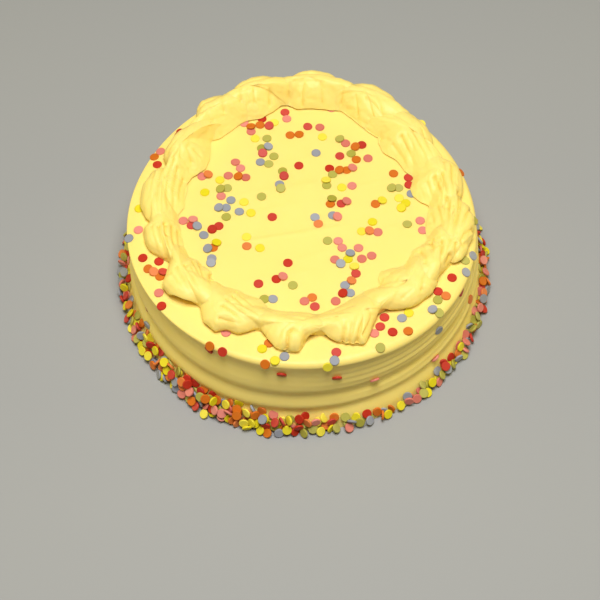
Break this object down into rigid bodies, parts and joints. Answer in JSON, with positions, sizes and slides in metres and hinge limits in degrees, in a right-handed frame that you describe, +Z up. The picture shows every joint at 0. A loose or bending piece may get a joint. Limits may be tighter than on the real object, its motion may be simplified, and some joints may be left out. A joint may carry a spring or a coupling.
{
  "type": "rainbow cake",
  "caption": "Round buttercream cake with a piped shell border on top and rainbow confetti discs scattered over it and round its foot.",
  "frame": {"origin": "centre of the underside of the cake, at the middle of its bounding box's base", "axes": "+Z up; -Y towards the front that the picture shows; +X to the right of it"},
  "size_m": [0.202, 0.2039, 0.0664],
  "materials": {
    "buttercream": "soft pale yellow icing with a faint sheen"
  },
  "bodies": {
    "root": {"iced_cake": "buttercream", "shell_01": "buttercream", "shell_02": "buttercream", "shell_03": "buttercream", "shell_04": "buttercream", "shell_05": "buttercream", "shell_06": "buttercream", "shell_07": "buttercream", "shell_08": "buttercream", "shell_09": "buttercream", "shell_10": "buttercream", "shell_11": "buttercream", "shell_12": "buttercream", "shell_13": "buttercream", "shell_14": "buttercream", "shell_15": "buttercream", "shell_16": "buttercream"}
  },
  "joints": []
}
